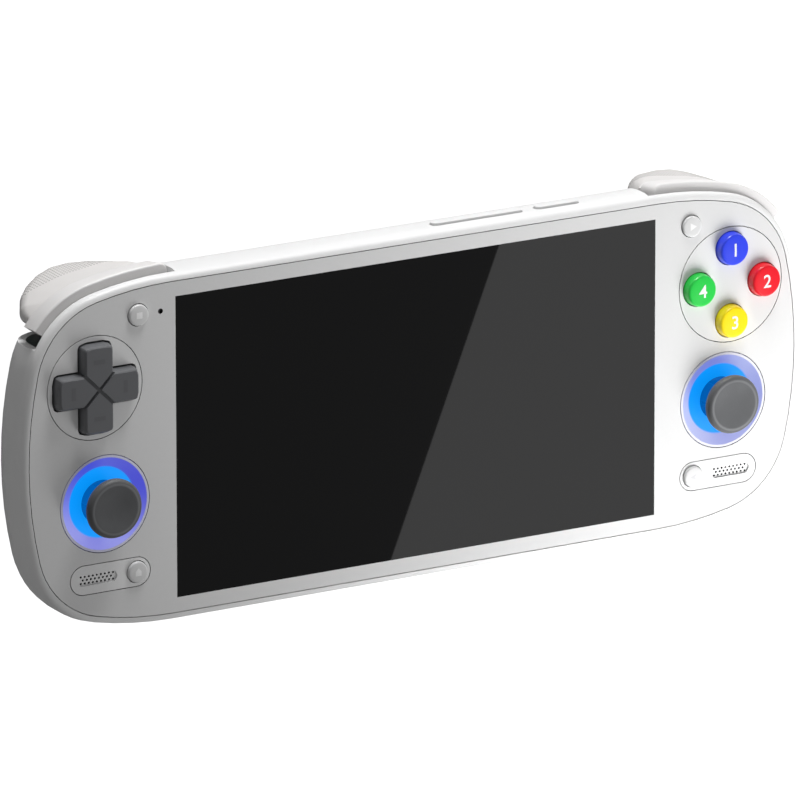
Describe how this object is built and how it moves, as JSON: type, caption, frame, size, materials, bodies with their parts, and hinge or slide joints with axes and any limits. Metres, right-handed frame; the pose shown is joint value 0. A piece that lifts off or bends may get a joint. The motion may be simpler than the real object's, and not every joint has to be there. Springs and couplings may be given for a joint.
{
  "type": "handheld game console",
  "caption": "Handheld game console with a wide screen, lit thumb sticks, direction pad, coloured face buttons, bumpers and analogue triggers.",
  "frame": {"origin": "middle of the flat back of the rear shell", "axes": "+X to the player's right along the screen's long side, +Y towards the shoulder buttons, +Z out of the screen"},
  "size_m": [0.1986, 0.0813, 0.0319],
  "materials": {
    "printed_glass": "clear sheet printed white behind, with a clear window for the display",
    "display": "dark, switched off",
    "white_shell": "glossy white moulding",
    "grey_plastic": "satin light grey moulding",
    "dark_plastic": "satin dark grey moulding",
    "black_plastic": "matt black moulding",
    "cap_rubber": "soft dark grey rubber",
    "contact_rubber": "silicone rubber",
    "light_guide": "frosted light guide, lit blue to violet",
    "button_blue": "glossy blue",
    "button_red": "glossy red",
    "button_yellow": "glossy yellow",
    "button_green": "glossy green",
    "steel": "plain steel",
    "copper": "bare copper",
    "circuit_board": "green solder mask",
    "ribbon": "amber film",
    "battery_wrap": "dark wrapped pouch"
  },
  "bodies": {
    "housing": {"front_glass": "printed_glass", "display_panel": "display", "front_frame": "white_shell", "rear_shell": "white_shell", "case_screws": "steel", "board_screws": "steel", "left_light_ring": "light_guide", "right_light_ring": "light_guide", "dpad_pad": "contact_rubber", "face_button_pad": "contact_rubber", "menu_switches": "steel", "key_switches": "steel", "left_stick_base": "black_plastic", "right_stick_base": "black_plastic", "stick_sensors": "black_plastic", "bumper_switches": "steel", "left_trigger_pin": "steel", "right_trigger_pin": "steel", "left_trigger_spring": "steel", "right_trigger_spring": "steel", "main_board": "circuit_board", "left_board": "circuit_board", "right_board": "circuit_board", "ribbon_cables": "ribbon", "shield_can": "steel", "heat_spreader": "copper", "heat_pipe": "copper", "fin_stack": "copper", "fan_housing": "black_plastic", "battery": "battery_wrap", "usb_port": "steel", "headphone_jack": "black_plastic", "card_slot": "steel", "microphone": "steel", "left_speaker": "black_plastic", "right_speaker": "black_plastic"},
    "dpad_cap": {"dpad_cap": "dark_plastic"},
    "dpad_pivot": {"dpad_pivot": "steel"},
    "button_top": {"button_top": "button_blue"},
    "button_right": {"button_right": "button_red"},
    "button_bottom": {"button_bottom": "button_yellow"},
    "button_left": {"button_left": "button_green"},
    "select_button": {"select_button": "white_shell"},
    "start_button": {"start_button": "white_shell"},
    "home_button": {"home_button": "white_shell"},
    "back_button": {"back_button": "white_shell"},
    "volume_rocker": {"volume_rocker": "grey_plastic"},
    "power_button": {"power_button": "grey_plastic"},
    "left_stick_yoke": {"left_stick_yoke": "grey_plastic"},
    "left_stick_lever": {"left_stick_lever": "black_plastic"},
    "left_stick_cap": {"left_stick_cap": "cap_rubber"},
    "right_stick_yoke": {"right_stick_yoke": "grey_plastic"},
    "right_stick_lever": {"right_stick_lever": "black_plastic"},
    "right_stick_cap": {"right_stick_cap": "cap_rubber"},
    "left_bumper": {"left_bumper": "grey_plastic"},
    "right_bumper": {"right_bumper": "grey_plastic"},
    "left_trigger": {"left_trigger": "grey_plastic"},
    "right_trigger": {"right_trigger": "grey_plastic"},
    "fan_rotor": {"fan_rotor": "black_plastic"}
  },
  "joints": [
    {"name": "button_top_press", "type": "slide", "parent": "housing", "child": "button_top", "axis": [0, 0, -1], "range_m": [0, 0.0012], "stiffness_N_per_m": 500, "springref_m": -0.0006},
    {"name": "button_right_press", "type": "slide", "parent": "housing", "child": "button_right", "axis": [0, 0, -1], "range_m": [0, 0.0012], "stiffness_N_per_m": 500, "springref_m": -0.0006},
    {"name": "button_bottom_press", "type": "slide", "parent": "housing", "child": "button_bottom", "axis": [0, 0, -1], "range_m": [0, 0.0012], "stiffness_N_per_m": 500, "springref_m": -0.0006},
    {"name": "button_left_press", "type": "slide", "parent": "housing", "child": "button_left", "axis": [0, 0, -1], "range_m": [0, 0.0012], "stiffness_N_per_m": 500, "springref_m": -0.0006},
    {"name": "select_button_press", "type": "slide", "parent": "housing", "child": "select_button", "axis": [0, 0, -1], "range_m": [0, 0.0005], "stiffness_N_per_m": 1500, "springref_m": -0.0002},
    {"name": "start_button_press", "type": "slide", "parent": "housing", "child": "start_button", "axis": [0, 0, -1], "range_m": [0, 0.0005], "stiffness_N_per_m": 1500, "springref_m": -0.0002},
    {"name": "home_button_press", "type": "slide", "parent": "housing", "child": "home_button", "axis": [0, 0, -1], "range_m": [0, 0.0005], "stiffness_N_per_m": 1500, "springref_m": -0.0002},
    {"name": "back_button_press", "type": "slide", "parent": "housing", "child": "back_button", "axis": [0, 0, -1], "range_m": [0, 0.0005], "stiffness_N_per_m": 1500, "springref_m": -0.0002},
    {"name": "dpad_tilt_x", "type": "hinge", "parent": "housing", "child": "dpad_pivot", "pos_m": [-0.081, 0.0165, 0.01057], "axis": [1, 0, 0], "range_deg": [-2.5, 2.5], "stiffness_Nm_per_rad": 0.13},
    {"name": "dpad_tilt_y", "type": "hinge", "parent": "dpad_pivot", "child": "dpad_cap", "pos_m": [-0.081, 0.0165, 0.01057], "axis": [0, 1, 0], "range_deg": [-2.5, 2.5], "stiffness_Nm_per_rad": 0.13},
    {"name": "left_stick_tilt_x", "type": "hinge", "parent": "housing", "child": "left_stick_yoke", "pos_m": [-0.0787, -0.0101, 0.008], "axis": [1, 0, 0], "range_deg": [-12.5, 12.5], "stiffness_Nm_per_rad": 0.03},
    {"name": "left_stick_tilt_y", "type": "hinge", "parent": "left_stick_yoke", "child": "left_stick_lever", "pos_m": [-0.0787, -0.0101, 0.008], "axis": [0, 1, 0], "range_deg": [-12.5, 12.5], "stiffness_Nm_per_rad": 0.03},
    {"name": "left_stick_click", "type": "slide", "parent": "left_stick_lever", "child": "left_stick_cap", "axis": [0, 0, -1], "range_m": [0, 0.0004], "stiffness_N_per_m": 6000, "springref_m": -0.0001},
    {"name": "right_stick_tilt_x", "type": "hinge", "parent": "housing", "child": "right_stick_yoke", "pos_m": [0.0787, -0.0101, 0.008], "axis": [1, 0, 0], "range_deg": [-12.5, 12.5], "stiffness_Nm_per_rad": 0.03},
    {"name": "right_stick_tilt_y", "type": "hinge", "parent": "right_stick_yoke", "child": "right_stick_lever", "pos_m": [0.0787, -0.0101, 0.008], "axis": [0, 1, 0], "range_deg": [-12.5, 12.5], "stiffness_Nm_per_rad": 0.03},
    {"name": "right_stick_click", "type": "slide", "parent": "right_stick_lever", "child": "right_stick_cap", "axis": [0, 0, -1], "range_m": [0, 0.0004], "stiffness_N_per_m": 6000, "springref_m": -0.0001},
    {"name": "left_bumper_press", "type": "hinge", "parent": "housing", "child": "left_bumper", "pos_m": [-0.0637, 0.0355, 0.0095], "axis": [0, 0, 1], "range_deg": [0, 1.5], "stiffness_Nm_per_rad": 1.2, "springref_deg": -0.57},
    {"name": "left_trigger_pull", "type": "hinge", "parent": "housing", "child": "left_trigger", "pos_m": [-0.073, 0.0305, 0.003], "axis": [-1, 0, 0], "range_deg": [0, 16], "stiffness_Nm_per_rad": 0.07, "springref_deg": -8.59, "deforming": ["left_trigger_spring"]},
    {"name": "right_bumper_press", "type": "hinge", "parent": "housing", "child": "right_bumper", "pos_m": [0.0637, 0.0355, 0.0095], "axis": [0, 0, -1], "range_deg": [0, 1.5], "stiffness_Nm_per_rad": 1.2, "springref_deg": -0.57},
    {"name": "right_trigger_pull", "type": "hinge", "parent": "housing", "child": "right_trigger", "pos_m": [0.073, 0.0305, 0.003], "axis": [-1, 0, 0], "range_deg": [0, 16], "stiffness_Nm_per_rad": 0.07, "springref_deg": -8.59, "deforming": ["right_trigger_spring"]},
    {"name": "volume_rock", "type": "hinge", "parent": "housing", "child": "volume_rocker", "pos_m": [0.0175, 0.03715, 0.0109], "axis": [0, 0, 1], "range_deg": [-1, 1], "stiffness_Nm_per_rad": 0.6},
    {"name": "power_press", "type": "slide", "parent": "housing", "child": "power_button", "axis": [0, -1, 0], "range_m": [0, 0.0004], "stiffness_N_per_m": 3000, "springref_m": -0.0001},
    {"name": "fan_spin", "type": "hinge", "parent": "housing", "child": "fan_rotor", "pos_m": [0.034, 0.006, 0.0036], "axis": [0, 0, 1], "continuous": true}
  ]
}
